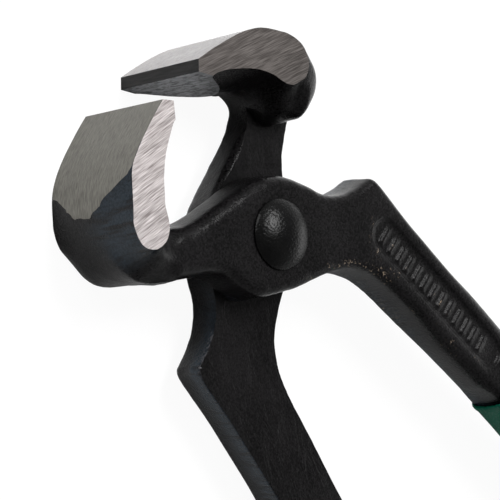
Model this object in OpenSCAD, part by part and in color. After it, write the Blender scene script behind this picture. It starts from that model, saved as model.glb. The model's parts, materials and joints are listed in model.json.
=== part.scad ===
// End cutting nippers: two forged steel levers that cross at one rivet, each with a dipped grip.
// One lever shape serves both halves. It is drawn with the jaws closed: the jaw and heel on the
// -X side, the handle on the +X side, the flat mating face near Z = 0 and the outer face towards +Z.
// The rear lever is the same shape turned half a turn about Y. Both then swing open about the rivet,
// and the whole tool is set down with its jaws' sides on Z = 0 and its middle over the origin.

/* [Head] */
// Width of the jaws along the rivet's axis
jaw_w = 22; // [21:0.1:24]
// Distance from the pivot to the outer corner of a cutting edge, jaws closed
jaw_reach = 35.7; // [34:0.1:40]
// Distance from the pivot to the back of a heel, jaws closed
head_half_w = 27; // [25.5:0.1:30]
// Gap left between the cutting edges when the jaws are closed
edge_gap = 0.1; // [0.06:0.01:0.3]
// Width of the blunt land beside a cutting edge
land_w = 1.4; // [0.6:0.1:2]
// Gap between the cutting edges as the tool is shown
mouth_w = 8; // [2:0.1:20]
// Depth, from the jaw's outer side, over which the heel's trimmed corner slopes out
facet_depth = 9; // [6:0.1:10]
// Depth over which the rest of the heel rounds out from the ground sides
heel_round = 7; // [3:0.1:8]

/* [Pivot] */
// Thickness of a lever, the same at its lap and its handle
lever_t = 8; // [7:0.1:8.2]
// Gap between the two mating faces
lap_gap = 0.06; // [0.04:0.01:0.2]
// Diameter of the rivet's shank
rivet_d = 8; // [5:0.1:9]
// Radial clearance of the shank in both levers
rivet_clearance = 0.04; // [0.02:0.01:0.09]
// Diameter of a rivet head
rivet_head_d = 13; // [11:0.1:15]
// Height of a rivet head's dome
rivet_head_h = 2.8; // [1.5:0.1:2.9]
// Height of the straight rim under a dome
rivet_rim_h = 0.3; // [0.1:0.05:0.5]

/* [Handles] */
// Length of the tool from the cutting edges to the ends of the steel handles, jaws closed
tool_l = 222; // [180:1:260]
// Distance from the middle of the tool to the outer edge of a handle, jaws closed
handle_half_span = 24.8; // [23.5:0.1:27]
// Distance from the pivot to where a handle leaves its shoulder
shoulder_l = 28.8; // [27:0.1:33]
// Width of a handle where it leaves the shoulder
handle_w = 14; // [12:0.1:15]
// Width of a handle at its end
handle_end_w = 9.5; // [8:0.1:11]
// How far the end of a handle curves in towards the other one
handle_draw_in = 8.4; // [3:0.1:10]
// Length of a handle's outer edge that stays straight below the shoulder
handle_straight_l = 31; // [20:1:45]
// Radius on a lever's outer edges
edge_r = 1.6; // [0.8:0.1:2]
// How far a lever's sides lean in from the mating face to the outer edge, as forged
draft = 0.5; // [0:0.1:0.8]
// Bevel on the sharp edges beside the mating face
edge_bevel = 0.3; // [0.1:0.05:0.5]

/* [Panel] */
// Distance from the pivot to the near end of the sunk panel
panel_start = 17.2; // [16:0.1:22]
// Length of the sunk panel
panel_l = 41; // [20:0.5:42]
// Width of the sunk panel
panel_w = 6.2; // [4:0.1:7]
// Depth of the sunk panel
panel_depth = 0.8; // [0.4:0.1:1.2]
// How far the plain ribs stop below the handle's face
rib_drop = 0.2; // [0.1:0.05:0.35]
// Width of one plain rib
rib_w = 1; // [0.6:0.1:1.4]
// Length of one plain rib across the panel
rib_l = 3.8; // [2:0.1:4.2]
// Distance from one rib to the next
rib_pitch = 2.7; // [1.8:0.1:5]

/* [Grips] */
// Length of a grip's sleeve over the steel
grip_l = 122.5; // [80:0.5:135]
// Wall thickness of a grip
grip_wall = 1.5; // [0.8:0.1:1.5]
// Thickness of the closed end of a grip
grip_end_t = 3; // [2:0.1:5]
// How far the lip at a grip's mouth stands out
grip_lip = 0.5; // [0:0.1:0.8]
// Length of the lip
grip_lip_l = 3; // [1:0.1:6]
// Gap between a grip and the steel inside it
grip_clearance = 0.1; // [0.05:0.01:0.2]

/* [Hidden] */
black = [0.07, 0.07, 0.08];
rivet_black = [0.12, 0.12, 0.13];
green = [0.02, 0.3, 0.18];
// How far a cut runs past the face it starts from
overrun = 1;
// How far a rib is let into the panel's floor
rib_root = 0.3;
// Radius of the corners of the hole inside a grip
grip_hole_r = 0.3;
// Flats that a full round is drawn with
fine_fn = 64;
handle_steps = 14;
end_steps = 8;
dome_steps = 8;
corner_steps = 3;
panel_end_steps = 8;

// Side face of a jaw, ground flat, from the outer corner of the edge round the heel's lobe and back
// along the hollow. Shares of head_half_w outwards and of jaw_reach along the tool.
face_shares = [
    [0.163, 0.994], [0.285, 0.983], [0.385, 0.972], [0.474, 0.957],
    [0.548, 0.938], [0.612, 0.911], [0.692, 0.871], [0.759, 0.826],
    [0.826, 0.778], [0.867, 0.731], [0.889, 0.683], [0.889, 0.655],
    [0.874, 0.632], [0.841, 0.597], [0.783, 0.575], [0.713, 0.571],
    [0.656, 0.58], [0.615, 0.602], [0.589, 0.628], [0.578, 0.645],
    [0.548, 0.686], [0.486, 0.734], [0.419, 0.782], [0.339, 0.82],
    [0.26, 0.844], [0.174, 0.873], [0.072, 0.899], [0.018, 0.925]
];
// The same points on the forged body between the two sides, where the heel stands further out.
body_shares = [
    [0.163, 0.994], [0.285, 0.983], [0.385, 0.972], [0.474, 0.957],
    [0.552, 0.943], [0.633, 0.926], [0.722, 0.878], [0.796, 0.826],
    [0.852, 0.774], [0.905, 0.712], [0.952, 0.644], [0.98, 0.569],
    [0.97, 0.498], [0.93, 0.44], [0.87, 0.398], [0.778, 0.37],
    [0.689, 0.372], [0.6, 0.403], [0.545, 0.459], [0.56, 0.51],
    [0.57, 0.563], [0.53, 0.69], [0.435, 0.757], [0.35, 0.79],
    [0.265, 0.816], [0.176, 0.85], [0.072, 0.888], [0.018, 0.922]
];
// The first and last of those points that lie on the trimmed corner of the heel.
facet_first = 4;
facet_last = 12;
// Neck from the lap to the inside of the head, and the heel from the head back to the lap.
neck_shares = [[0.154, 0.378], [0.308, 0.419], [0.44, 0.46], [0.53, 0.503], [0.66, 0.54], [0.69, 0.62]];
root_shares = [[0.78, 0.63], [0.86, 0.57], [0.85, 0.46]];
heel_shares = [
    [0.812, 0.35], [0.772, 0.318], [0.68, 0.258],
    [0.585, 0.192], [0.508, 0.108]
];
// Inner edge of the lap down to the shoulder, and its outer edge from the horn back up to the neck.
// Shares of handle_half_span across and of shoulder_l along the tool.
inner_shares = [
    [-0.529, -0.013], [-0.488, -0.122], [-0.394, -0.205], [-0.177, -0.346],
    [0.035, -0.43], [0.11, -0.454], [0.199, -0.503], [0.268, -0.565],
    [0.319, -0.634], [0.389, -0.78]
];
horn_shares = [
    [1.004, -0.752], [1.018, -0.558], [1.02, -0.44], [0.99, -0.378],
    [0.94, -0.358], [0.8, -0.312], [0.69, -0.254], [0.57, -0.14],
    [0.486, 0.049], [0.43, 0.15], [0.357, 0.236], [0.22, 0.34], [0.04, 0.405]
];
// How fast a handle narrows from the shoulder to its end.
taper_share = 2.2;
// Reach of the cutting edge itself, beside that of the land's outer corner.
edge_reach_share = 0.95;
// How the closed end of a grip draws in: place along it and size.
cap_shares = [[0.25, 0.97], [0.6, 0.84], [0.85, 0.64], [1, 0.35]];

edge_point = [-edge_gap / 2, jaw_reach * edge_reach_share];
corner_point = [-edge_gap / 2 - land_w, jaw_reach];
edge_radius = norm(edge_point);
half_open = asin(mouth_w / 2 / edge_radius) - asin(edge_gap / 2 / edge_radius);
lap_z = lap_gap / 2;
outer_z = lap_z + lever_t;
bore_r = rivet_d / 2 + rivet_clearance;
handle_end_y = -(tool_l - jaw_reach);
grip_top_y = handle_end_y + grip_l;
panel_r = panel_w / 2;

// A point given in shares of the head's sizes, or of the sizes of the lap and shoulder.
function head_point(share) = [-share[0] * head_half_w, share[1] * jaw_reach];
function lap_point(share) = [share[0] * handle_half_span, share[1] * shoulder_l];

// Outer and inner edge of a handle at a distance along the tool.
function straight_end_y() = -shoulder_l - handle_straight_l;
function bend_share(y) = max(0, (straight_end_y() - y) / (straight_end_y() - handle_end_y));
function outer_x(y) = handle_half_span - handle_draw_in * pow(bend_share(y), 2);
function taper(y) = pow(1 - min(1, (-shoulder_l - y) / (-shoulder_l - handle_end_y)), taper_share);
function width_at(y) = handle_end_w + (handle_w - handle_end_w) * taper(y);
function inner_x(y) = outer_x(y) - width_at(y);
function middle_x(y) = outer_x(y) - width_at(y) / 2;
function handle_y(i) = -shoulder_l + (handle_end_y + handle_end_w / 2 + shoulder_l) * i / handle_steps;

// Outline of the lever between its faces, anticlockwise from the heel.
lever_outline = concat(
    [for (s = heel_shares) head_point(s)],
    [for (s = inner_shares) lap_point(s)],
    [for (i = [0 : handle_steps]) [inner_x(handle_y(i)), handle_y(i)]],
    [for (i = [1 : end_steps - 1])
        let (y = handle_y(handle_steps), a = 180 + 180 * i / end_steps)
        [middle_x(y) + width_at(y) / 2 * cos(a), y + handle_end_w / 2 * sin(a)]],
    [for (i = [handle_steps : -1 : 0]) [outer_x(handle_y(i)), handle_y(i)]],
    [for (s = horn_shares) lap_point(s)],
    [for (s = neck_shares) head_point(s)],
    [for (s = root_shares) head_point(s)]
);

// A point of a closed anticlockwise outline moved inwards by d, square to both of its edges.
function unit(v) = v / norm(v);
function inward(v) = [-v[1], v[0]];
function inset_point(p, i, d) =
    let (n = len(p),
         a = inward(unit(p[i] - p[(i + n - 1) % n])),
         b = inward(unit(p[(i + 1) % n] - p[i])))
    p[i] + d * (a + b) / (1 + a * b);
function inset(p, d) = [for (i = [0 : len(p) - 1]) inset_point(p, i, d)];

// Faces of a solid made of rings of n points each, stacked along Z, closed flat at both ends.
function stack_faces(n, rings) = concat(
    [[for (i = [n - 1 : -1 : 0]) i]],
    [for (r = [0 : rings - 2]) for (i = [0 : n - 1])
        each [[r * n + i, r * n + (i + 1) % n, (r + 1) * n + (i + 1) % n],
              [r * n + i, (r + 1) * n + (i + 1) % n, (r + 1) * n + i]]],
    [[for (i = [0 : n - 1]) (rings - 1) * n + i]]
);

module stacked(rings) {
    polyhedron(
        points = [for (ring = rings) each ring],
        faces = [for (f = stack_faces(len(rings[0]), len(rings))) [for (k = [len(f) - 1 : -1 : 0]) f[k]]],
        convexity = 10
    );
}

function ring_at(outline, z) = [for (p = outline) [p[0], p[1], z]];

// Height and inset of each ring of the lever: a small bevel by the mating face, a round outer edge.
// The rings run past both faces, which are then milled flat.
lever_rings = concat(
    [[lap_z - overrun, edge_bevel + overrun], [lap_z + edge_bevel, 0]],
    [for (i = [0 : corner_steps])
        let (a = 90 * i / corner_steps)
        [outer_z - edge_r + edge_r * sin(a), draft + edge_r * (1 - cos(a))]],
    [[outer_z + overrun, draft + edge_r]]
);

// A slab as wide as the tool is long, for milling a face flat.
module slab(z, h) {
    translate([-tool_l, -tool_l, z]) cube([2 * tool_l, 2 * tool_l, h]);
}

module lever_plate() {
    difference() {
        stacked([for (r = lever_rings) ring_at(inset(lever_outline, r[1]), r[0])]);
        slab(lap_z - lever_t, lever_t);
        slab(outer_z, lever_t);
    }
}

// How far the forged body has come out from the ground side, at a depth below that side.
function rounded(depth, reach) =
    let (s = min(1, depth / reach))
    sqrt(1 - (1 - s) * (1 - s));
function sloped(depth, reach) = min(1, depth / reach);
function on_facet(i) = i >= facet_first && i <= facet_last;
function body_share(i, z) =
    let (depth = jaw_w / 2 - abs(z))
    z > 0 && on_facet(i) ? sloped(depth, facet_depth) : rounded(depth, heel_round);

function head_ring(z) = concat(
    [[edge_point[0], edge_point[1], z], [corner_point[0], corner_point[1], z]],
    [for (i = [0 : len(face_shares) - 1])
        let (a = head_point(face_shares[i]),
             b = head_point(body_shares[i]),
             p = a + (b - a) * body_share(i, z))
        [p[0], p[1], z]]
);

// Depths of the head's rings below its ground sides, as shares of the heel's rounding.
ring_shares = [0, 0.06, 0.2, 0.5, 1];
head_levels = concat(
    [for (s = ring_shares) -jaw_w / 2 + heel_round * s],
    [jaw_w / 2 - facet_depth],
    [for (i = [len(ring_shares) - 1 : -1 : 0]) jaw_w / 2 - heel_round * ring_shares[i]]
);

module head() {
    stacked([for (z = head_levels) head_ring(z)]);
}

// The sunk panel's outline, a long slot with round ends along the handle's middle.
panel_near_y = -panel_start - panel_r;
panel_far_y = -panel_start - panel_l + panel_r;
function panel_x(y) = middle_x(min(y, -shoulder_l));
panel_outline = concat(
    [for (i = [0 : panel_end_steps])
        let (a = 180 * i / panel_end_steps)
        [panel_x(panel_near_y) + panel_r * cos(a), panel_near_y + panel_r * sin(a)]],
    [for (i = [0 : panel_end_steps])
        let (a = 180 + 180 * i / panel_end_steps)
        [panel_x(panel_far_y) + panel_r * cos(a), panel_far_y + panel_r * sin(a)]]
);
rib_count = floor((panel_near_y - panel_far_y) / rib_pitch);

module panel_cut() {
    translate([0, 0, outer_z - panel_depth])
        linear_extrude(height = panel_depth + overrun)
            polygon(panel_outline);
}

module ribs() {
    for (i = [0 : rib_count]) {
        y = panel_near_y - rib_pitch * i;
        translate([panel_x(y) - rib_l / 2, y - rib_w / 2, outer_z - panel_depth - rib_root])
            cube([rib_l, rib_w, panel_depth + rib_root - rib_drop]);
    }
}

module lever() {
    difference() {
        union() {
            lever_plate();
            head();
        }
        translate([0, 0, -overrun])
            cylinder(r = bore_r, h = outer_z + 2 * overrun, $fn = fine_fn);
        panel_cut();
    }
    ribs();
}

// Half outline of the rivet: its shank and, at each end, a rim and a dome.
function dome(z0, side) = [for (i = [0 : dome_steps])
    let (a = 90 * i / dome_steps)
    [rivet_head_d / 2 * cos(a), side * (z0 + rivet_rim_h + (rivet_head_h - rivet_rim_h) * sin(a))]];
rear_seat_z = outer_z + rivet_clearance;
rivet_outline = concat(
    [[rivet_d / 2, -rear_seat_z], [rivet_d / 2, outer_z], [rivet_head_d / 2, outer_z]],
    dome(outer_z, 1),
    [for (i = [dome_steps : -1 : 0]) dome(rear_seat_z, -1)[i]],
    [[rivet_head_d / 2, -rear_seat_z]]
);

module rivet() {
    rotate_extrude($fn = fine_fn) polygon(rivet_outline);
}

// Rings of a grip, square to Y: round cornered, about the handle's middle and the lever's middle.
grip_corner_r = lever_t / 2 - grip_wall / 2;
function round_ring(y, half_w, half_t, r) = [for (c = [0 : 3]) for (k = [0 : corner_steps])
    let (a = 90 * c + 90 * k / corner_steps,
         sx = (c == 0 || c == 3) ? 1 : -1,
         sz = c < 2 ? 1 : -1)
    [middle_x(y) + sx * (half_w - r) + r * cos(a), y, lap_z + lever_t / 2 + sz * (half_t - r) + r * sin(a)]];
function grip_ring(y, out, size) =
    round_ring(y, (width_at(y) / 2 + grip_wall + out) * size, (lever_t / 2 + grip_wall + out) * size,
        grip_corner_r * size);
function hole_ring(y) =
    round_ring(y, width_at(y) / 2 + grip_clearance, lever_t / 2 + grip_clearance, grip_hole_r);
grip_end_y = handle_end_y - grip_end_t;
grip_stations = concat(
    [grip_top_y - grip_lip_l],
    [for (i = [0 : handle_steps]) if (handle_y(i) < grip_top_y - 2 * grip_lip_l) handle_y(i)]
);
grip_rings = concat(
    [grip_ring(grip_top_y, grip_lip, 1)],
    [for (y = grip_stations) grip_ring(y, y == grip_stations[0] ? grip_lip / 2 : 0, 1)],
    [for (s = cap_shares)
        let (y = handle_y(handle_steps))
        [for (p = grip_ring(y, 0, s[1])) [p[0], y + (grip_end_y - y) * s[0], p[2]]]]
);
hole_rings = concat(
    [hole_ring(grip_top_y + overrun)],
    [for (y = grip_stations) hole_ring(y)],
    [hole_ring(handle_end_y - grip_clearance)]
);

module sleeve() {
    difference() {
        stacked(grip_rings);
        stacked(hole_rings);
    }
}

// Places one half of the tool: swung open, and set down on its jaws' sides.
function turned(p) = p[0] * sin(half_open) + p[1] * cos(half_open);
top_y = turned(corner_point);
bottom_y = min([for (r = grip_rings) for (p = r) turned(p)]);

module placed() {
    translate([0, -(top_y + bottom_y) / 2, jaw_w / 2]) children();
}

module front_side() {
    placed() rotate([0, 0, half_open]) children();
}

module rear_side() {
    placed() rotate([0, 0, -half_open]) rotate([0, 180, 0]) children();
}

module front_lever() {
    color(black) front_side() lever();
}

module rear_lever() {
    color(black) rear_side() lever();
}

module pivot_rivet() {
    color(rivet_black) front_side() rivet();
}

module front_grip() {
    color(green) front_side() sleeve();
}

module rear_grip() {
    color(green) rear_side() sleeve();
}

front_lever();
rear_lever();
pivot_rivet();
front_grip();
rear_grip();
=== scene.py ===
import json
import math

import bmesh
import bpy
import numpy as np
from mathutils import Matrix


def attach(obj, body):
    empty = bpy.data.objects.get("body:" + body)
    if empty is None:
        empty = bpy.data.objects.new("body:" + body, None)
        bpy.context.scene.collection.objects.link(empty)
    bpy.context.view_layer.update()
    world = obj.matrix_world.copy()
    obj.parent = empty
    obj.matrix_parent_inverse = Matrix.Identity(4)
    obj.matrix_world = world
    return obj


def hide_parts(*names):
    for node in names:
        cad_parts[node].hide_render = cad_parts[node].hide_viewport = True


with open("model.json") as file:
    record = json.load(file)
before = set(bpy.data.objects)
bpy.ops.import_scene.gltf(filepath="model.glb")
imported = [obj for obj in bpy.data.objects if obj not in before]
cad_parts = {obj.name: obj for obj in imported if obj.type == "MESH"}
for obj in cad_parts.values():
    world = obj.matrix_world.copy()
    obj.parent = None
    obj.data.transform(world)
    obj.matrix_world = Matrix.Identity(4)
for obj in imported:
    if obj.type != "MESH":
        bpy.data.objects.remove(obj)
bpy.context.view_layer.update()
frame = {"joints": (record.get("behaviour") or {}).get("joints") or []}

import openvdb
from mathutils import Matrix, Vector

# Everything below is worked out in millimetres and turned into metres when a mesh is placed.
MM = 0.001

# Sizes of one lever, drawn with the jaws closed: jaw on the -X side, handle on the +X side.
JAW_W = 22
JAW_REACH = 35.7
HEAD_HALF_W = 27
EDGE_GAP = 0.1
LAND_W = 1.4
MOUTH_W = 8
EDGE_REACH_SHARE = 0.95
LEVER_T = 8
LAP_GAP = 0.06
TOOL_L = 222
HALF_SPAN = 24.8
SHOULDER_L = 28.8
HANDLE_W = 14
HANDLE_END_W = 9.5
HANDLE_DRAW_IN = 8.4
HANDLE_STRAIGHT_L = 31
TAPER_SHARE = 2.2
LAP_Z = LAP_GAP / 2
OUTER_Z = LAP_Z + LEVER_T
HANDLE_END_Y = JAW_REACH - TOOL_L
HALF_W = JAW_W / 2

# The rivet and its hole.
RIVET_D = 8
RIVET_CLEARANCE = 0.04
RIVET_HEAD_D = 13
RIVET_RIM_H = 0.35
RIVET_SEAT_GAP = 0.02
RIVET_CROWN_DROP = 0.17
RIVET_CHAMFER = 0.12
RIVET_SHRINK = 0.08
RIVET_OUT_OF_ROUND = 0.05
RIVET_RIPPLE = 0.035
RIVET_DENT = 0.02
RIVET_SIDES = 96
DOME_POWER = 0.8
DOME_STEPS_SHARES = [0, 0.12, 0.24, 0.36, 0.48, 0.58, 0.68, 0.76, 0.83, 0.89, 0.935, 0.965, 0.985, 1]

# The sunk panel with its plain ribs.
PANEL_START = 17.2
PANEL_L = 41
PANEL_W = 6.2
PANEL_SHOWN = 0.6
PANEL_FLOOR_R = 0.4
PANEL_BLEND = 0.7
RIB_DROP = 0.2
RIB_W = 1.1
RIB_L = 3.8
RIB_PITCH = 2.7
RIB_ROOT = 1
RIB_CORNER_R = 0.35
RIB_TOP_R = 0.3
RIB_BLEND = 0.35

# The grips. The wall gets thinner towards the mouth, which dips a little and has a raised lip.
GRIP_L = 122.5
GRIP_WALL = 1.5
GRIP_END_T = 3
GRIP_CLEARANCE = 0.1
GRIP_SPARE = 0.06
GRIP_LIP = 0.14
GRIP_LIP_DOWN = 1.0
GRIP_LIP_W = 0.9
GRIP_THIN = 0.75
GRIP_THIN_SPAN = (-24, -2)
GRIP_ROUND = 2.8
GRIP_MOUTH_LESS_ROUND = 0.9
GRIP_MOUTH_R = 0.45
GRIP_SAG = 0.9
GRIP_SAG_Z = -0.9
GRIP_SAG_HALF_W = 4.6
GRIP_HOLE_BLEND = 0.25
GRIP_WAVE = 0.06
GRIP_OUTLINE_SPARE = 10
GRIP_VOXEL = 0.36
GRIP_GRID_X = (5, 30)
GRIP_GRID_BELOW = 1.5
GRIP_GRID_ABOVE = 2
GRIP_GRID_ROOM = 2.5

# How finely outlines are drawn and the forging is meshed, and the box that it is worked out in.
OUTLINE_STEPS = 4
CURVE_STEPS = 6
LEVER_STATIONS = 30
GRIP_STATIONS = 24
END_STATIONS = 12
VOXEL = 0.28
FIELD_VOXELS = 3
ADAPTIVITY = 0.02
GRID_LOW = (-30.5, -189, -12.8)
GRID_HIGH = (28.5, 38.5, 12.8)
HEAD_FROM_Y = 2
CURVE_FROM_Y = 5
FAR_AWAY = 99.0

# How the forging's surfaces round off and blend. A pair is where a change starts and ends.
EDGE_R = 1.7
NECK_R = 2.4
NECK_Y = (-2, 8)
DRAFT = 0.5
LAP_DEEP = 0.14
LAP_EDGE_R = 0.5
LAP_NECK_MORE_R = 1.4
LAP_NECK_Y = (8, 14)
NECK_LINE_POINT = (-5, 5)
NECK_LINE_LEAN = 0.47
NECK_LINE_SOFT = 2
HANDLE_OVAL = 0.8
OVAL_LEVEL_SHARE = 0.6
OVAL_Y = (-48, -36)
OVAL_FROM_GRIP = (0.5, 6)
HANDLE_WAVE_SHARE = 0.3
WAVE_Y = (-22, -8)
HEAD_BLEND = 2.8
HEEL_ROUND = 5.5
MIDDLE_SOFT = 1.5
GRIND_SPARE = 1
BULGE_POWER = 1.5
BULGE_HEEL_MORE_POWER = 0.9
BULGE_HEEL_Y = (17, 23)
BULGE_CUT_SHARE = 0.85
BULGE_CUT_Z = (5.5, 9.5)
BULGE_CUT_Y = (23, 27)

PIVOT = Vector(frame["joints"][0]["pos_m"])


def rest_half_angle():
    """How far each lever is turned from closed at rest."""
    reach = math.hypot(EDGE_GAP / 2, JAW_REACH * EDGE_REACH_SHARE)
    return math.asin(MOUTH_W / 2 / reach) - math.asin(EDGE_GAP / 2 / reach)


HALF_OPEN = rest_half_angle()
FRONT = Matrix.Translation(PIVOT) @ Matrix.Rotation(HALF_OPEN, 4, "Z") @ Matrix.Scale(MM, 4)
REAR = (Matrix.Translation(PIVOT) @ Matrix.Rotation(-HALF_OPEN, 4, "Z")
        @ Matrix.Rotation(math.pi, 4, "Y") @ Matrix.Scale(MM, 4))


# Camera: where it stands and what it looks at, from the pivot, and its lens and sensor, all in
# millimetres, with its roll in degrees and the range that it sees in metres.
CAMERA_PLACE = (-195.90, 141.51, 271.76)
CAMERA_AIM = (-1.684, -1.371, 0)
CAMERA_ROLL = 82.683
CAMERA_FOCAL = 144
CAMERA_SENSOR = 36
CAMERA_RANGE = (0.01, 10)


def make_camera():
    """The photo's camera."""
    data = bpy.data.cameras.new("camera")
    data.lens = CAMERA_FOCAL
    data.sensor_width = CAMERA_SENSOR
    data.sensor_fit = "HORIZONTAL"
    data.clip_start, data.clip_end = CAMERA_RANGE
    camera = bpy.data.objects.new("camera", data)
    bpy.context.scene.collection.objects.link(camera)
    place = PIVOT + Vector(CAMERA_PLACE) * MM
    aim = PIVOT + Vector(CAMERA_AIM) * MM
    forward = (aim - place).normalized()
    level = forward.cross(Vector((0, 0, 1))).normalized()
    right = Matrix.Rotation(-math.radians(CAMERA_ROLL), 3, forward) @ level
    up = right.cross(forward)
    turn = Matrix((right, up, -forward)).transposed()
    camera.matrix_world = Matrix.Translation(place) @ turn.to_4x4()
    bpy.context.scene.camera = camera


# Outlines, as shares of the head's half width and reach, or of the handles' half span and shoulder.
# The head has its bevel's curve, then its outline in front, at the back and halfway up the forging.
GROUND_SHARES = [
    (-0.02, 1.002), (0.054, 1.0), (0.163, 0.994), (0.285, 0.983), (0.385, 0.972), (0.474, 0.958),
    (0.55, 0.941), (0.625, 0.917), (0.70, 0.881), (0.77, 0.837), (0.84, 0.783), (0.92, 0.71),
]
FACE_SHARES = [
    (-0.06, 1.02), (0.163, 1.014), (0.385, 0.992), (0.474, 0.978), (0.554, 0.942), (0.602, 0.912),
    (0.65, 0.883), (0.7, 0.852), (0.75, 0.822), (0.82, 0.777), (0.862, 0.733), (0.888, 0.685),
    (0.89, 0.655), (0.876, 0.624), (0.841, 0.593), (0.783, 0.574), (0.727, 0.574), (0.676, 0.59),
    (0.637, 0.615), (0.608, 0.645), (0.575, 0.68), (0.52, 0.716), (0.458, 0.76), (0.381, 0.8),
    (0.306, 0.832), (0.248, 0.85), (0.162, 0.874), (0.069, 0.897), (-0.06, 0.91),
]
FAR_SHARES = [
    (-0.06, 1.02), (0.163, 1.014), (0.385, 0.992), (0.474, 0.978), (0.552, 0.962), (0.63, 0.932),
    (0.683, 0.902), (0.737, 0.865), (0.788, 0.824), (0.836, 0.779), (0.872, 0.734), (0.888, 0.685),
    (0.88, 0.645), (0.858, 0.608), (0.81, 0.582), (0.76, 0.568), (0.713, 0.563), (0.656, 0.567),
    (0.615, 0.59), (0.579, 0.628), (0.55, 0.672), (0.51, 0.71), (0.458, 0.75), (0.375, 0.797),
    (0.28, 0.838), (0.182, 0.873), (0.069, 0.897), (-0.06, 0.91),
]
BODY_SHARES = [
    (-0.06, 1.02), (0.163, 1.02), (0.385, 1.0), (0.474, 0.99), (0.556, 0.972), (0.64, 0.94),
    (0.72, 0.893), (0.79, 0.825), (0.842, 0.768), (0.895, 0.706), (0.945, 0.64), (0.978, 0.567),
    (0.972, 0.5), (0.93, 0.444), (0.868, 0.404), (0.79, 0.378), (0.7, 0.364), (0.608, 0.384),
    (0.545, 0.44), (0.54, 0.51), (0.53, 0.57), (0.5, 0.632), (0.43, 0.682), (0.326, 0.708),
    (0.2, 0.73), (0.07, 0.765), (-0.06, 0.8),
]
# The middle line of the head: on its outer side the forging rounds off, on its inner side it bulges.
MIDDLE_SHARES = [
    (-0.2, 0.96), (0.2, 0.94), (0.4, 0.89), (0.56, 0.81), (0.68, 0.73), (0.74, 0.62), (0.74, 0.5),
    (0.72, 0.3), (2, 0.3), (2, 2), (-0.2, 2),
]
# Where the ground bevel ends: how far along its curve, in millimetres, at each height. At the back it
# ends in a round line. The forging next to it leaves the curve with a slope.
BEVEL_END_S = [13.6, 15.2, 16.4, 18.1, 19.4, 20.5, 20.9, 21.6, 23]
BEVEL_END_Z = [11, 9.9, 7.9, 4.7, 2.7, 1.0, 0.6, 0.1, 0]
BEVEL_BACK_S = 21.6
BEVEL_BACK_CURVE = 0.0445
# How far inside the bevel's curve the facet lies on the jaw's face, and the rounded back likewise.
FACET_DEPTH = ([13.6, 15.2, 16.6, 18.5, 20.5, 22, 24], [0, 0.28, 0.62, 0.8, 0.85, 0.75, 0.7])
BACK_DEPTH = ([16, 18, 20, 22, 24], [0.02, 0.08, 0.16, 0.18, 0.1])
BEVEL_JOIN = (21, 23.5)
GROUND_SLOPE = 0.16
LEAST_FACET_H = 0.5
# The height from which the facet is trimmed flat, by how far up the head.
FACET_FROM = ([18, 21, 24.5, 28], [5, 3.8, 2.4, 1.0])
# The rest of the lever's outline, and the head's wall down at the mating face.
NECK_SHARES = [(0.154, 0.378), (0.308, 0.419), (0.44, 0.46), (0.53, 0.503), (0.66, 0.54), (0.69, 0.62)]
ROOT_SHARES = [(0.78, 0.63), (0.86, 0.57), (0.85, 0.46)]
HEEL_SHARES = [(0.812, 0.35), (0.772, 0.318), (0.68, 0.258), (0.585, 0.192), (0.508, 0.108)]
INNER_SHARES = [
    (-0.529, -0.013), (-0.488, -0.122), (-0.394, -0.205), (-0.177, -0.346), (0.05, -0.462),
    (0.148, -0.518), (0.236, -0.58), (0.304, -0.646), (0.352, -0.72), (0.4, -0.82),
]
HORN_SHARES = [
    (1.004, -0.752), (1.018, -0.558), (1.02, -0.44), (0.99, -0.378), (0.94, -0.358), (0.8, -0.312),
    (0.69, -0.254), (0.57, -0.14), (0.486, 0.049), (0.43, 0.15), (0.357, 0.236), (0.22, 0.34),
    (0.04, 0.405),
]
LAP_WALL_SHARES = [
    (0.3, 0.6), (0.5, 0.6), (0.54, 0.51), (0.545, 0.44), (0.6, 0.385), (0.69, 0.364), (0.79, 0.378),
    (0.872, 0.408), (0.938, 0.45), (0.985, 0.5), (1.0, 0.569),
]


def head_points(shares):
    """Places on the head, which lies on the -X side."""
    return [(-u * HEAD_HALF_W, v * JAW_REACH) for u, v in shares]


def lap_points(shares):
    """Places round the pivot and down to the shoulder."""
    return [(u * HALF_SPAN, v * SHOULDER_L) for u, v in shares]


def outer_x(y):
    """The handle's outer side: straight at first, then drawn in."""
    bend_from = -SHOULDER_L - HANDLE_STRAIGHT_L
    bend = np.maximum(0, (bend_from - y) / (bend_from - HANDLE_END_Y))
    return HALF_SPAN - HANDLE_DRAW_IN * bend ** 2


def width_at(y):
    """The handle's width, which tapers to its end."""
    along = np.clip((-SHOULDER_L - y) / (-SHOULDER_L - HANDLE_END_Y), 0, 1)
    return HANDLE_END_W + (HANDLE_W - HANDLE_END_W) * (1 - along) ** TAPER_SHARE


def middle_x(y):
    """The handle's middle line."""
    return outer_x(y) - width_at(y) / 2


def handle_points(start_y, past, count):
    """The handle down its inner side, round its end and back, its end pushed past by a length."""
    stations = np.linspace(start_y, HANDLE_END_Y + HANDLE_END_W / 2 - past, count)
    last = stations[-1]
    inner = [(outer_x(y) - width_at(y), y) for y in stations]
    end = [(middle_x(last) + width_at(last) / 2 * math.cos(a), last + HANDLE_END_W / 2 * math.sin(a))
           for a in np.linspace(math.pi, 2 * math.pi, END_STATIONS)[1:-1]]
    outer = [(outer_x(y), y) for y in stations[::-1]]
    return inner + end + outer


def lever_outline():
    """The lever between its faces, anticlockwise from the heel."""
    handle = handle_points(-SHOULDER_L, 0, LEVER_STATIONS)
    return (head_points(HEEL_SHARES) + lap_points(INNER_SHARES) + handle + lap_points(HORN_SHARES)
            + head_points(NECK_SHARES) + head_points(ROOT_SHARES))


def grip_outline(past):
    """The handle in the grip, carried past the grip's mouth and past the handle's end."""
    return handle_points(HANDLE_END_Y + GRIP_L + GRIP_OUTLINE_SPARE, past, GRIP_STATIONS)


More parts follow.
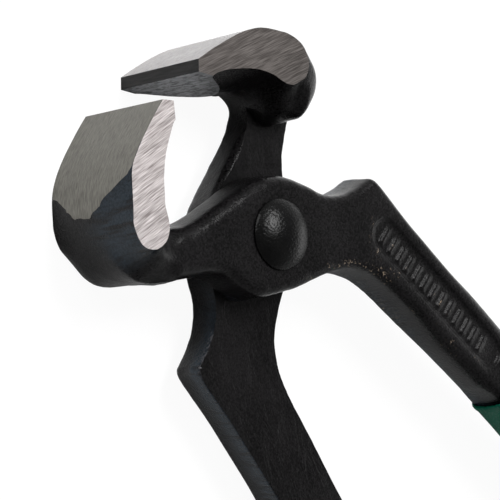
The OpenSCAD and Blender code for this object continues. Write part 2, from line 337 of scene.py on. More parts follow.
def spline(a, b, c, d, t):
    """A share t of the way from b to c, on the smooth curve through all four."""
    return 0.5 * (2 * b + (c - a) * t + (2 * a - 5 * b + 4 * c - d) * t ** 2
                  + (3 * b - a - 3 * c + d) * t ** 3)


def smooth_outline(points):
    """A closed spline through the points."""
    p = np.array(points, float)
    before, after, later = np.roll(p, 1, 0), np.roll(p, -1, 0), np.roll(p, -2, 0)
    rows = [spline(before, p, after, later, t) for t in np.arange(OUTLINE_STEPS) / OUTLINE_STEPS]
    return np.stack(rows, 1).reshape(-1, 2)


def smooth_open(points):
    """An open spline through the points."""
    p = np.array(points, float)
    p = np.vstack([2 * p[0] - p[1], p, 2 * p[-1] - p[-2]])
    rows = []
    for i in range(1, len(p) - 2):
        rows += [spline(*p[i - 1:i + 3], t) for t in np.arange(CURVE_STEPS) / CURVE_STEPS]
    rows.append(p[-2])
    return np.array(rows)


def outline_distance(x, y, points):
    """Distance to a closed outline, negative inside."""
    best = np.full(x.shape, 1e9)
    inside = np.zeros(x.shape, bool)
    for a, b in zip(points, np.roll(points, -1, 0)):
        ex, ey = b[0] - a[0], b[1] - a[1]
        wx, wy = x - a[0], y - a[1]
        t = np.clip((wx * ex + wy * ey) / max(ex * ex + ey * ey, 1e-12), 0, 1)
        best = np.minimum(best, (wx - ex * t) ** 2 + (wy - ey * t) ** 2)
        if ey != 0:
            crosses = ((a[1] > y) != (b[1] > y)) & (wx < wy * ex / ey)
            inside ^= crosses
    return np.where(inside, -1, 1) * np.sqrt(best)


def smooth_union(a, b, k):
    """Both forms together, with the corner between them filled over a width of k."""
    h = np.clip(0.5 + 0.5 * (b - a) / k, 0, 1)
    return b * (1 - h) + a * h - k * h * (1 - h)


def smooth_cut(a, b, k):
    """The first form without the second, likewise."""
    return -smooth_union(-a, b, k)


def smoothstep(low, high, x):
    """From 0 at low to 1 at high, flat at both ends."""
    t = np.clip((x - low) / (high - low), 0, 1)
    return t * t * (3 - 2 * t)


def rounded_box(a, b, r):
    """Where both distances are negative, with the edge between them rounded."""
    a, b = a + r, b + r
    return np.minimum(np.maximum(a, b), 0) + np.hypot(np.maximum(a, 0), np.maximum(b, 0)) - r


def waviness(x, y, z):
    """The slight unevenness of a forged surface: three waves, of falling height and length."""
    return (0.045 * np.sin(0.55 * x + 0.9 * z + 1.3) * np.sin(0.47 * y + 0.4)
            + 0.03 * np.sin(1.3 * x - 0.8 * y + 0.6) * np.sin(1.1 * z + 0.5 * x)
            + 0.02 * np.sin(2.3 * y + 1.9 * z) * np.sin(2.1 * x + 0.3))


def curve_place(x, y, points):
    """How far along an open curve each place's nearest point lies, and its distance, plus outside."""
    best = np.full(x.shape, 1e9)
    along = np.zeros(x.shape)
    side = np.ones(x.shape)
    start = 0
    for a, b in zip(points[:-1], points[1:]):
        ex, ey = b[0] - a[0], b[1] - a[1]
        length = math.hypot(ex, ey)
        wx, wy = x - a[0], y - a[1]
        t = np.clip((wx * ex + wy * ey) / length ** 2, 0, 1)
        gap = (wx - ex * t) ** 2 + (wy - ey * t) ** 2
        nearer = gap < best
        best = np.where(nearer, gap, best)
        along = np.where(nearer, start + t * length, along)
        side = np.where(nearer, np.sign(wx * ey - wy * ex), side)
        start += length
    return along, side * np.sqrt(best)


def ground_curve():
    """The curve of the jaw's ground bevel, seen from the side."""
    return smooth_open(head_points(GROUND_SHARES))


def curve_start():
    """Where the bevel's curve is counted from: its second listed point, next to the edge."""
    curve = ground_curve()[:CURVE_STEPS + 1]
    return np.hypot(*np.diff(curve, axis=0).T).sum()


def bevel_offset(s, z):
    """How far outside the bevel's curve the unground forging stands: minus is inside."""
    below = GROUND_SLOPE * np.maximum(0, s - BEVEL_BACK_S)
    if z >= 0:
        end = np.interp(s, BEVEL_END_S, BEVEL_END_Z)
        past = np.clip((z - end) / np.maximum(HALF_W - end, LEAST_FACET_H), 0, 1)
        return np.where(z < end, GROUND_SLOPE * (end - z), -np.interp(s, *FACET_DEPTH) * past) - below
    end = np.sqrt(np.maximum(0, BEVEL_BACK_S - s) / BEVEL_BACK_CURVE)
    past = np.clip((-z - end) / np.maximum(HALF_W - end, LEAST_FACET_H), 0, 1)
    back = -np.interp(s, *BACK_DEPTH) * past - below * (1 - past)
    return np.where(-z < end, GROUND_SLOPE * (end + z) - below, back)


class LeverField:
    """The forged lever as a distance at each point of a grid, worked out one level at a time."""

    def __init__(self):
        low, high = np.array(GRID_LOW), np.array(GRID_HIGH)
        self.low = low
        count = np.ceil((high - low) / VOXEL).astype(int)
        axes = [low[i] + VOXEL * np.arange(count[i]) for i in range(3)]
        x, y = np.meshgrid(axes[0], axes[1], indexing="ij")
        self.x, self.y = x, y
        self.levels = axes[2]
        self.plate = outline_distance(x, y, smooth_outline(lever_outline()))
        self.face = self.head_distance(FACE_SHARES)
        self.far = self.head_distance(FAR_SHARES)
        self.body = self.head_distance(BODY_SHARES)
        self.inner = smoothstep(-MIDDLE_SOFT, MIDDLE_SOFT, self.head_distance(MIDDLE_SHARES))
        near = y[0] > CURVE_FROM_Y
        along, self.gap = np.full(x.shape, FAR_AWAY), np.full(x.shape, FAR_AWAY)
        along[:, near], self.gap[:, near] = curve_place(x[:, near], y[:, near], ground_curve())
        self.along = along - curve_start()
        self.bevel_share = (1 - smoothstep(*BEVEL_JOIN, self.along)) * (1 - self.inner)
        self.facet_from = np.interp(y, *FACET_FROM)
        self.panel, self.ribs = panel_distance(x, y)
        self.round_r = EDGE_R + (NECK_R - EDGE_R) * smoothstep(*NECK_Y, y)
        past_line = x - NECK_LINE_POINT[0] + NECK_LINE_LEAN * (y - NECK_LINE_POINT[1])
        inner_neck = smoothstep(*LAP_NECK_Y, y) * smoothstep(-NECK_LINE_SOFT, NECK_LINE_SOFT, past_line)
        self.lap_r = LAP_EDGE_R + LAP_NECK_MORE_R * inner_neck
        oval_from = [HANDLE_END_Y + GRIP_L + past for past in OVAL_FROM_GRIP]
        self.oval = (1 - smoothstep(*OVAL_Y, y)) * smoothstep(*oval_from, y)
        self.rough = HANDLE_WAVE_SHARE + (1 - HANDLE_WAVE_SHARE) * smoothstep(*WAVE_Y, y)

    def head_distance(self, shares):
        """Only near the head: elsewhere a large distance will do."""
        x, y = self.x, self.y
        distance = np.full(x.shape, FAR_AWAY)
        near = y[0] > HEAD_FROM_Y
        distance[:, near] = outline_distance(x[:, near], y[:, near], smooth_outline(head_points(shares)))
        return distance

    def bulge(self, z):
        """How far the head's inner side stands out at a height, as a share of the way to the body."""
        power = BULGE_POWER + BULGE_HEEL_MORE_POWER * (1 - smoothstep(*BULGE_HEEL_Y, self.y))
        bulge = np.maximum(0, 1 - (abs(z) / HALF_W) ** power)
        near_face = smoothstep(*BULGE_CUT_Z, z) * (1 - smoothstep(*BULGE_CUT_Y, self.y))
        return bulge * (1 - BULGE_CUT_SHARE * near_face)

    def head(self, z):
        """The jaw and heel at a height: sloped to the facet in front, rounded off at the back."""
        if z > 0:
            edge = self.face
            outer_share = np.clip((HALF_W - z) / (HALF_W - self.facet_from), 0, 1)
        else:
            edge = self.far
            depth = min(1, max(0, (HALF_W - abs(z)) / HEEL_ROUND))
            outer_share = np.full(edge.shape, math.sqrt(1 - (1 - depth) ** 2))
        share = outer_share * (1 - self.inner) + self.inner * self.bulge(z)
        head = edge + (self.body - edge) * share
        ground = self.gap - bevel_offset(self.along, z)
        return head + (ground - head) * self.bevel_share

    def at(self, z):
        """The whole lever at a height."""
        x, y = self.x, self.y
        across = (z - LAP_Z) / LEVER_T
        lean = DRAFT * min(1, max(0, across)) * (1 - self.oval)
        lean = lean + self.oval * HANDLE_OVAL * (min(1, abs(2 * across - 1)) ** 2 - OVAL_LEVEL_SHARE)
        plate = rounded_box(self.plate + lean, np.full(x.shape, z - OUTER_Z), self.round_r)
        plate = rounded_box(plate, np.full(x.shape, LAP_Z - LAP_DEEP - z), self.lap_r)
        head = np.maximum(self.head(z), abs(z) - HALF_W - GRIND_SPARE)
        whole = smooth_union(plate, head, HEAD_BLEND)
        floor = OUTER_Z - PANEL_SHOWN
        sunk = rounded_box(self.panel, np.full(x.shape, floor - z), PANEL_FLOOR_R)
        whole = smooth_cut(whole, sunk, PANEL_BLEND)
        rib = rounded_box(self.ribs, np.full(x.shape, z - OUTER_Z + RIB_DROP), RIB_TOP_R)
        whole = smooth_union(whole, np.maximum(rib, floor - RIB_ROOT - z), RIB_BLEND)
        return whole + waviness(x, y, z) * self.rough


def panel_distance(x, y):
    """Distances to the panel's outline and to the nearest of its ribs."""
    near_y = -PANEL_START - PANEL_W / 2
    far_y = -PANEL_START - PANEL_L + PANEL_W / 2
    near_x, far_x = middle_x(min(near_y, -SHOULDER_L)), middle_x(far_y)
    along = np.clip((y - near_y) / (far_y - near_y), 0, 1)
    panel = np.hypot(x - near_x - (far_x - near_x) * along, y - near_y - (far_y - near_y) * along)
    ribs = np.full(x.shape, FAR_AWAY)
    for i in range(int((near_y - far_y) / RIB_PITCH) + 1):
        cy = near_y - RIB_PITCH * i
        cx = middle_x(min(cy, -SHOULDER_L))
        rib = rounded_box(np.abs(x - cx) - RIB_L / 2, np.abs(y - cy) - RIB_W / 2, RIB_CORNER_R)
        ribs = np.minimum(ribs, rib)
    return panel - PANEL_W / 2, ribs


def mesh_object(name, vertices, faces, material):
    mesh = bpy.data.meshes.new(name)
    mesh.from_pydata([tuple(v) for v in vertices], [], [tuple(f) for f in faces])
    mesh.validate()
    mesh.materials.append(material)
    piece = bpy.data.objects.new(name, mesh)
    bpy.context.scene.collection.objects.link(piece)
    return piece


def volume_mesh(name, values, low, voxel, material):
    """A closed mesh where the distances cross zero."""
    limit = FIELD_VOXELS * voxel
    grid = openvdb.FloatGrid(limit)
    grid.copyFromArray(np.clip(values, -limit, limit).astype(np.float32))
    points, triangles, quads = grid.convertToPolygons(isovalue=0, adaptivity=ADAPTIVITY)
    return mesh_object(name, points * voxel + low, [*triangles.tolist(), *quads.tolist()], material)


def prism(name, outline, low, high, material):
    """A closed cutter: an outline from low to high."""
    if not anticlockwise(outline):
        outline = outline[::-1]
    n = len(outline)
    points = [(px, py, low) for px, py in outline] + [(px, py, high) for px, py in outline]
    sides = [(i, (i + 1) % n, n + (i + 1) % n, n + i) for i in range(n)]
    caps = [tuple(range(n - 1, -1, -1)), tuple(range(n, 2 * n))]
    return mesh_object(name, points, sides + caps, material)


def anticlockwise(outline):
    """Whether an outline runs anticlockwise, by the sign of its area."""
    p = np.array(outline)
    q = np.roll(p, -1, 0)
    return (p[:, 0] * q[:, 1] - q[:, 0] * p[:, 1]).sum() > 0


def cut(piece, cutter):
    """Cuts the cutter away, gives the new faces its material, and removes it."""
    modifier = piece.modifiers.new("cut", "BOOLEAN")
    modifier.operation = "DIFFERENCE"
    modifier.solver = "MANIFOLD"
    modifier.material_mode = "TRANSFER"
    modifier.object = cutter
    bpy.context.view_layer.update()
    done = bpy.data.meshes.new_from_object(piece.evaluated_get(bpy.context.evaluated_depsgraph_get()))
    piece.modifiers.clear()
    piece.data = done
    bpy.data.objects.remove(cutter)


# The cutters reach far out of the forging. The jaw's edge is where its bevels and its land meet.
FAR_OUT = 60
FAR_DOWN = -250
BEVEL_CUT_PAST = (8, 4)
BEVEL_CUT_X = 10
LAND_CUT_SPARE = 5
LAND_CUT_DEEP = 10
INNER_CUT_SPARE = 5
INNER_CUT_DEEP = 7
INNER_BEVEL_L = 14.5
LAP_CUT_TOP = (20, 21)
LAP_CUT_X = -2
SIDE_CUT_FROM_Y = -5
BORE_SIDES = 96
EDGE_POINT = Vector((-EDGE_GAP / 2, JAW_REACH * EDGE_REACH_SHARE))
CORNER_POINT = Vector((-EDGE_GAP / 2 - LAND_W, JAW_REACH))
INNER_BEVEL_TURN = math.radians(45)


def bevel_cutter(material):
    """The ground outer side of the jaw: everything outside its curve."""
    curve = [tuple(p) for p in ground_curve()]
    past_x, past_y = BEVEL_CUT_PAST
    outline = curve + [(curve[-1][0] - past_x, curve[-1][1] - past_y), (-FAR_OUT, curve[-1][1] - past_y)]
    outline += [(-FAR_OUT, FAR_OUT), (BEVEL_CUT_X, FAR_OUT), (BEVEL_CUT_X, curve[0][1])]
    return prism("bevel_cutter", outline, -FAR_OUT, FAR_OUT, material)


def strip_cutter(name, start, end, reach, material):
    """A cutter on the left of the line from start to end."""
    d = end - start
    side = Vector((-d.y, d.x)).normalized() * reach
    corners = [start, end, end + side, start + side]
    return prism(name, [tuple(c) for c in corners], -FAR_OUT, FAR_OUT, material)


def land_cutter(material):
    """The narrow flat of the cutting edge."""
    spare = (CORNER_POINT - EDGE_POINT).normalized() * LAND_CUT_SPARE
    start, end = CORNER_POINT + spare, EDGE_POINT - spare
    return strip_cutter("land_cutter", start, end, LAND_CUT_DEEP, material)


def inner_bevel_cutter(material):
    """The ground inner side next to the edge, a flat that fades out on the bulging forging."""
    along = Vector((-math.sin(INNER_BEVEL_TURN), -math.cos(INNER_BEVEL_TURN)))
    start, end = EDGE_POINT - along * INNER_CUT_SPARE, EDGE_POINT + along * INNER_BEVEL_L
    return strip_cutter("inner_cutter", start, end, INNER_CUT_DEEP, material)


def lap_cutter(material):
    """Everything below the mating face that doesn't belong to the head."""
    left_top, right_top = LAP_CUT_TOP
    outline = head_points(LAP_WALL_SHARES) + [(-FAR_OUT, left_top), (-FAR_OUT, FAR_DOWN)]
    outline += [(FAR_OUT, FAR_DOWN), (FAR_OUT, right_top), (LAP_CUT_X, right_top)]
    return prism("lap_cutter", outline, -FAR_OUT, LAP_Z, material)


def bore_cutter(material):
    """The rivet's hole."""
    r = RIVET_D / 2 + RIVET_CLEARANCE
    turns = np.linspace(0, 2 * math.pi, BORE_SIDES + 1)[:-1]
    ring = [(r * math.cos(a), r * math.sin(a)) for a in turns]
    return prism("bore_cutter", ring, -FAR_OUT, FAR_OUT, material)


def side_cutter(name, low, high, material):
    """What the head's flat side is ground down from."""
    start = SIDE_CUT_FROM_Y
    corners = [(-FAR_OUT, start), (FAR_OUT, start), (FAR_OUT, FAR_OUT), (-FAR_OUT, FAR_OUT)]
    return prism(name, corners, low, high, material)


# Where a lever is marked: the trimmed facet and bands, a painted highlight along the outer side's edge
# next to the mating face, and the worn inner edge.
FACET_SOFT = 0.3
FACET_Y = (19.5, 22)
FACET_WAY = (-0.62, 0.3)
FACET_TURNED = (-0.2, 0.3)
BAND_UPRIGHT = (0.25, 0.6)
BAND_Y = (-6, 0)
BAND_OUTER_H = 3.4
BAND_INNER_H = 2.0
BAND_SOFT = 0.9
# The painted highlight: how high it reaches from the mating face, and where along the lever it starts
# and ends.
PAINTED_HIGHLIGHT_Z = (0.45, 0.9)
PAINTED_HIGHLIGHT_HEAD_Y = (1, 4)
PAINTED_HIGHLIGHT_HANDLE_Y = (-16, -7)
WORN_HANDLE_Y = (-60, -45)
WORN_HEAD_Y = (-12, -6)
WORN_ALL_OVER = 0.35
WORN_INNER_MORE = 2.6
# How many times a mark is averaged with its neighbours, and the shortest edge that bends are read on.
TRIM_SPREAD = 3
WORN_SPREAD = 2
SHORTEST_EDGE = 0.05


def mesh_arrays(mesh):
    """A mesh's places, normals and edges as arrays."""
    places = np.empty(len(mesh.vertices) * 3)
    mesh.vertices.foreach_get("co", places)
    normals = np.empty(len(mesh.vertices) * 3)
    mesh.vertex_normals.foreach_get("vector", normals)
    edges = np.empty(len(mesh.edges) * 2, int)
    mesh.edges.foreach_get("vertices", edges)
    return places.reshape(-1, 3), normals.reshape(-1, 3), edges.reshape(-1, 2)


def spread(values, edges, times):
    """Averages each vertex's value with its neighbours'."""
    count = np.bincount(edges.ravel(), minlength=len(values)) + 1
    for _ in range(times):
        total = values + np.bincount(edges[:, 0], values[edges[:, 1]], len(values))
        total += np.bincount(edges[:, 1], values[edges[:, 0]], len(values))
        values = total / count
    return values


def convexity(places, normals, edges):
    """How sharply the surface bends outwards at each vertex, per millimetre."""
    a, b = edges[:, 0], edges[:, 1]
    step = places[b] - places[a]
    length = np.maximum(np.linalg.norm(step, axis=1), SHORTEST_EDGE)
    bend = ((normals[b] - normals[a]) * step).sum(1) / length ** 2
    total = np.bincount(a, bend, len(places)) + np.bincount(b, bend, len(places))
    count = np.maximum(1, np.bincount(edges.ravel(), minlength=len(places)))
    return spread(total / count, edges, WORN_SPREAD)


def store(mesh, name, values):
    """Keeps a share for each vertex, for the materials to read."""
    layer = mesh.attributes.new(name, "FLOAT", "POINT")
    layer.data.foreach_set("value", np.clip(values, 0, 1).astype(np.float32))


def trimmed_facet(y, z, normals):
    """Where the heel's flash was trimmed off in front."""
    facet = smoothstep(-FACET_SOFT, FACET_SOFT, z - np.interp(y, *FACET_FROM)) * smoothstep(*FACET_Y, y)
    return facet * smoothstep(*FACET_TURNED, normals[:, 0] * FACET_WAY[0] + normals[:, 1] * FACET_WAY[1])


def trimmed_band(y, z, normals, outer):
    """Where the handle's flash was trimmed off, a band along each of its sides."""
    upright = 1 - smoothstep(*BAND_UPRIGHT, np.abs(normals[:, 2]))
    top = np.where(outer, BAND_OUTER_H, BAND_INNER_H)
    return upright * (1 - smoothstep(*BAND_Y, y)) * (1 - smoothstep(top - BAND_SOFT, top, z))


def mark_lever(mesh):
    """Paints where the flash was trimmed off, where a highlight is painted along the outer lower edge,
    and where edges are worn, as vertex values.
    """
    places, normals, edges = mesh_arrays(mesh)
    x, y, z = places.T
    middle = middle_x(np.minimum(y, -SHOULDER_L))
    outer = x > middle
    trimmed = np.maximum(trimmed_facet(y, z, normals), trimmed_band(y, z, normals, outer))
    store(mesh, "trim", spread(trimmed, edges, TRIM_SPREAD))
    # Painted highlight: a light line along the outer side's edge next to the mating face, kept as the
    # 'edge' value.
    rim = (1 - smoothstep(*PAINTED_HIGHLIGHT_Z, z)) * (1 - smoothstep(*PAINTED_HIGHLIGHT_HEAD_Y, y)) * smoothstep(*PAINTED_HIGHLIGHT_HANDLE_Y, y)
    store(mesh, "edge", rim * outer)
    inner_edge = (x < middle) * smoothstep(*WORN_HANDLE_Y, y) * (1 - smoothstep(*WORN_HEAD_Y, y))
    worn = convexity(places, normals, edges) * (WORN_ALL_OVER + WORN_INNER_MORE * inner_edge)
    store(mesh, "worn", worn)


def sharpen(mesh, angle):
    """Smooth shading, broken at creases and where one finish meets another."""
    mesh.shade_smooth()
    mesh.set_sharp_from_angle(angle=math.radians(angle))
    work = bmesh.new()
    work.from_mesh(mesh)
    for edge in work.edges:
        faces = edge.link_faces
        if len(faces) == 2 and faces[0].material_index != faces[1].material_index:
            edge.smooth = False
    work.to_mesh(mesh)
    work.free()


def make_lever_mesh(finish):
    """One lever in its own frame, in millimetres, with the ground faces cut crisp."""
    field = LeverField()
    values = np.stack([field.at(z) for z in field.levels], 2)
    lever = volume_mesh("lever", values, field.low, VOXEL, finish["black"])
    cut(lever, lap_cutter(finish["mating"]))
    cut(lever, bevel_cutter(finish["bevel"]))
    cut(lever, inner_bevel_cutter(finish["inner"]))
    cut(lever, land_cutter(finish["land"]))
    cut(lever, side_cutter("upper", HALF_W, FAR_OUT, finish["side"]))
    cut(lever, side_cutter("lower", -FAR_OUT, -HALF_W, finish["side"]))
    cut(lever, bore_cutter(finish["mating"]))
    mark_lever(lever.data)
    return lever


def make_grip_mesh(material):
    """The dipped sleeve over one handle: round-edged, a little uneven, with a dipping, raised mouth."""
    top_y = HANDLE_END_Y + GRIP_L
    low = np.array((GRIP_GRID_X[0], HANDLE_END_Y - GRIP_END_T - GRIP_GRID_BELOW,
                    LAP_Z - GRIP_WALL - GRIP_GRID_ROOM))
    high = np.array((GRIP_GRID_X[1], top_y + GRIP_GRID_ABOVE, OUTER_Z + GRIP_WALL + GRIP_GRID_ROOM))
    axes = [np.arange(low[i], high[i], GRIP_VOXEL) for i in range(3)]
    x, y = np.meshgrid(axes[0], axes[1], indexing="ij")
    flat = outline_distance(x, y, smooth_outline(grip_outline(0)))
    thick = outline_distance(x, y, smooth_outline(grip_outline(GRIP_END_T - GRIP_WALL)))
    middle = (LAP_Z + OUTER_Z) / 2
    to_mouth = smoothstep(*GRIP_THIN_SPAN, y - top_y)
    lip = GRIP_LIP * np.exp(-((y - top_y + GRIP_LIP_DOWN) / GRIP_LIP_W) ** 2) - GRIP_THIN * to_mouth
    side = thick - GRIP_WALL + GRIP_SPARE - lip
    corner = GRIP_ROUND - GRIP_MOUTH_LESS_ROUND * to_mouth
    levels = []
    for z in axes[2]:
        tall = np.full(x.shape, abs(z - middle) - LEVER_T / 2)
        wave = GRIP_WAVE * np.sin(0.21 * y + 0.5 * z) * np.sin(0.3 * x + 0.12 * y)
        skin = rounded_box(side, tall - GRIP_WALL + GRIP_SPARE - lip, corner)
        sag = GRIP_SAG * max(0, 1 - ((z - middle - GRIP_SAG_Z) / GRIP_SAG_HALF_W) ** 2)
        skin = rounded_box(skin + wave, y - top_y + GRIP_SPARE + sag, GRIP_MOUTH_R)
        hole = np.maximum(flat, tall) - GRIP_CLEARANCE
        levels.append(smooth_cut(skin, hole, GRIP_HOLE_BLEND))
    return volume_mesh("grip", np.stack(levels, 2), low, GRIP_VOXEL, material)


def rivet_profile(seat, rim):
    """Half the rivet's section, from the crown of one head to the crown of the other."""
    r = RIVET_HEAD_D / 2
    crown = HALF_W - RIVET_CROWN_DROP
    dome = [(r * q, rim + (crown - rim) * (1 - q ** 2) ** DOME_POWER) for q in DOME_STEPS_SHARES]
    front = dome + [(r, rim - RIVET_CHAMFER), (r - RIVET_CHAMFER, seat), (RIVET_D / 2, seat)]
    return front + [(px, -pz) for px, pz in front[::-1]]


def rivet_point(px, pz, a, seat, rim):
    """A point of the section turned by an angle, its head hammered a little uneven."""
    out = px / (RIVET_HEAD_D / 2)
    uneven = out * (RIVET_OUT_OF_ROUND * math.sin(2 * a + 0.6) + RIVET_RIPPLE * math.sin(5 * a + 2))
    uneven *= 1 if abs(pz) > seat - RIVET_SEAT_GAP / 2 else 0
    dent = RIVET_DENT * out * math.sin(3 * a + px)
    height = pz + math.copysign(dent, pz) if abs(pz) > rim else pz
    reach = px - RIVET_SHRINK + uneven
    return reach * math.cos(a), reach * math.sin(a), height


def make_rivet_mesh(material):
    """A peened rivet: a steep dome on each side of a plain shank, not perfectly round."""
    seat = OUTER_Z + RIVET_SEAT_GAP
    rim = seat + RIVET_RIM_H
    profile = rivet_profile(seat, rim)
    n = RIVET_SIDES
    points = [(0, 0, profile[0][1])]
    for px, pz in profile[1:-1]:
        points += [rivet_point(px, pz, 2 * math.pi * k / n, seat, rim) for k in range(n)]
    points.append((0, 0, profile[-1][1]))
    faces = [(0, 1 + k, 1 + (k + 1) % n) for k in range(n)]
    for start in range(1, len(points) - 1 - n, n):
        for k in range(n):
            here, beside = start + k, start + (k + 1) % n
            faces.append((here, here + n, beside + n, beside))
    last = len(points) - 1 - n
    faces += [(len(points) - 1, last + (k + 1) % n, last + k) for k in range(n)]
    return mesh_object("rivet", points, faces, material)


# Materials: small helpers to build node trees, then one function per finish.
class Shader:
    """A material under construction. Its nodes take plain values or other nodes' outputs."""

    def __init__(self, name):
        self.material = bpy.data.materials.new(name)
        self.material.use_nodes = True
        self.tree = self.material.node_tree
        self.surface = self.tree.nodes["Principled BSDF"]
        self.place = self.add("ShaderNodeTexCoord").outputs["Object"]

    def add(self, kind, inputs=None, **settings):
        node = self.tree.nodes.new(kind)
        for key, value in settings.items():
            setattr(node, key, value)
        for key, value in (inputs or {}).items():
            self.set(node, key, value)
        return node

    def set(self, node, key, value):
        if isinstance(value, bpy.types.NodeSocket):
            self.tree.links.new(value, node.inputs[key])
        else:
            node.inputs[key].default_value = value

    def noise(self, scale, detail=2, rough=0.5, place=None, distortion=0):
        """Noise between 0 and 1. Its scale is how many features there are to a metre."""
        inputs = {"Vector": place or self.place, "Scale": scale, "Detail": detail, "Roughness": rough,
                  "Distortion": distortion}
        return self.add("ShaderNodeTexNoise", inputs).outputs["Fac"]

    def stretched(self, scale, turn=0):
        """The place turned about Z, then stretched, so that noise on it runs in streaks."""
        turned = self.add("ShaderNodeMapping", {"Vector": self.place, "Rotation": (0, 0, turn)})
        return self.add("ShaderNodeMapping", {"Vector": turned.outputs[0], "Scale": scale}).outputs[0]

    def ramp(self, value, *stops):
        """Piecewise between stops of (position, grey)."""
        node = self.add("ShaderNodeValToRGB", {"Fac": value})
        elements = node.color_ramp.elements
        while len(elements) < len(stops):
            elements.new(0.5)
        for element, (position, grey) in zip(elements, stops):
            element.position = position
            element.color = (grey, grey, grey, 1)
        return node.outputs["Color"]

    def span(self, value, low, high, to_low, to_high):
        """A value from low to high, made to run from to_low to to_high."""
        inputs = {"Value": value, "From Min": low, "From Max": high, "To Min": to_low, "To Max": to_high}
        return self.add("ShaderNodeMapRange", inputs).outputs["Result"]

    def math(self, operation, a, b):
        node = self.add("ShaderNodeMath", {0: a, 1: b}, operation=operation, use_clamp=True)
        return node.outputs[0]

    def product(self, a, b):
        return self.math("MULTIPLY", a, b)

    def mix(self, share, a, b):
        node = self.add("ShaderNodeMix", data_type="RGBA")
        self.set(node, "Factor", share)
        for socket, value in (("A", a), ("B", b)):
            colour = (*value, 1) if isinstance(value, tuple) else value
            target = [s for s in node.inputs if s.name == socket and s.type == "RGBA"][0]
            if isinstance(colour, bpy.types.NodeSocket):
                self.tree.links.new(colour, target)
            else:
                target.default_value = colour
        return [s for s in node.outputs if s.type == "RGBA"][0]

    def vertex(self, name):
        return self.add("ShaderNodeAttribute", attribute_name=name).outputs["Fac"]

    def bump(self, height, depth, after=None):
        """Bump with its depth in millimetres."""
        inputs = {"Height": height, "Distance": depth * MM, "Strength": 1}
        if after:
            inputs["Normal"] = after
        return self.add("ShaderNodeBump", inputs).outputs["Normal"]

    def finish(self, **values):
        """Sets the shader's inputs by their names in small letters, and gives the material."""
        for key, value in values.items():
            name = key.replace("_", " ").title().replace("Ior", "IOR")
            value = (*value, 1) if isinstance(value, tuple) and len(value) == 3 else value
            self.set(self.surface, name, value)
        return self.material


# Colours, each pair from dark to light, and how fine the lacquer's and the steel's patterns are.
BLACK = (0.0003, 0.0003, 0.0003)
BLACK_LIGHT = (0.0085, 0.0079, 0.0084)
TRIM_DARK = (0.008, 0.012, 0.016)
TRIM_BLUE = (0.016, 0.023, 0.031)
# The painted highlight's light grey, for the line along the outer side's edge next to the mating face.
PAINTED_EDGE_HIGHLIGHT = (0.05, 0.05, 0.055)
WORN_TAN = (0.36, 0.28, 0.21)
INNER_DARK = (0.11, 0.115, 0.123)
INNER_LIGHT = (0.34, 0.344, 0.356)
INNER_SPECK = (0.02, 0.021, 0.024)
LAND_DARK = (0.003, 0.003, 0.0031)
LAND_LIGHT = (0.014, 0.0135, 0.0135)
RIVET_DARK = (0.0006, 0.0006, 0.0007)
RIVET_LIGHT = (0.0018, 0.0018, 0.0018)
GREEN_DARK = (0.0006, 0.050, 0.029)
GREEN_LIGHT = (0.0012, 0.072, 0.042)
CLOUD_SCALE = 90
GRAIN_SCALE = 2300
FINE_SCALE = 2700
LINE_SCALE = 9500
BROAD_LINE_SCALE = 4600
DEEP_LINE_SCALE = 6500
# Noise lies mostly between these, so spans are taken from here to here.
NOISE_MID = (0.3, 0.7)
NOISE_CORE = (0.35, 0.65)
# Ground steel by face: light and dark, its scratches' turn in degrees and stretch, roughness, depth. The
# front lever's side face is painted lighter and the rear's darker, and the rear's bevel lighter than the
# front's: painted light and shade for how the lamps catch each lever's ground steel.
STREAK = (0.035, 1, 1)
BEVEL_STREAK = (0.08, 0.08, 1)
STEELS_WITH_PAINTED_LIGHT = {
    # Painted light and shade: the same steel on both levers, its colours set lighter or darker per lever
    # and face.
    "front_face_steel": ((0.74, 0.69, 0.685), (0.235, 0.205, 0.2), 10.7, STREAK, 0.42, 0.006),
    "front_bevel_steel": ((0.165, 0.159, 0.142), (0.08, 0.077, 0.068), 0, BEVEL_STREAK, 0.5, 0.004),
    "rear_face_steel": ((0.17, 0.154, 0.146), (0.068, 0.06, 0.056), 19, STREAK, 0.42, 0.005),
    "rear_bevel_steel": ((0.39, 0.376, 0.376), (0.15, 0.143, 0.143), 0, BEVEL_STREAK, 0.42, 0.004),
}


def lacquer_colour(s, broad, fine, fine_share):
    """Black with a fine lighter speckle, a little cloudy."""
    speckle = s.math("ADD", s.span(broad, *NOISE_CORE, 0, 0.3), s.span(fine, *NOISE_CORE, 0, fine_share))
    return s.mix(speckle, BLACK, BLACK_LIGHT)


def worn_share(s):
    """Flecks in a few patches, along the edges that the vertex values name."""
    flecks = s.ramp(s.noise(1500, 4, 0.75), (0.60, 0), (0.66, 1))
    patches = s.ramp(s.noise(130, 2), (0.46, 0), (0.58, 1))
    edges = s.ramp(s.vertex("worn"), (0.42, 0), (0.8, 1))
    return s.product(s.product(edges, flecks), patches)


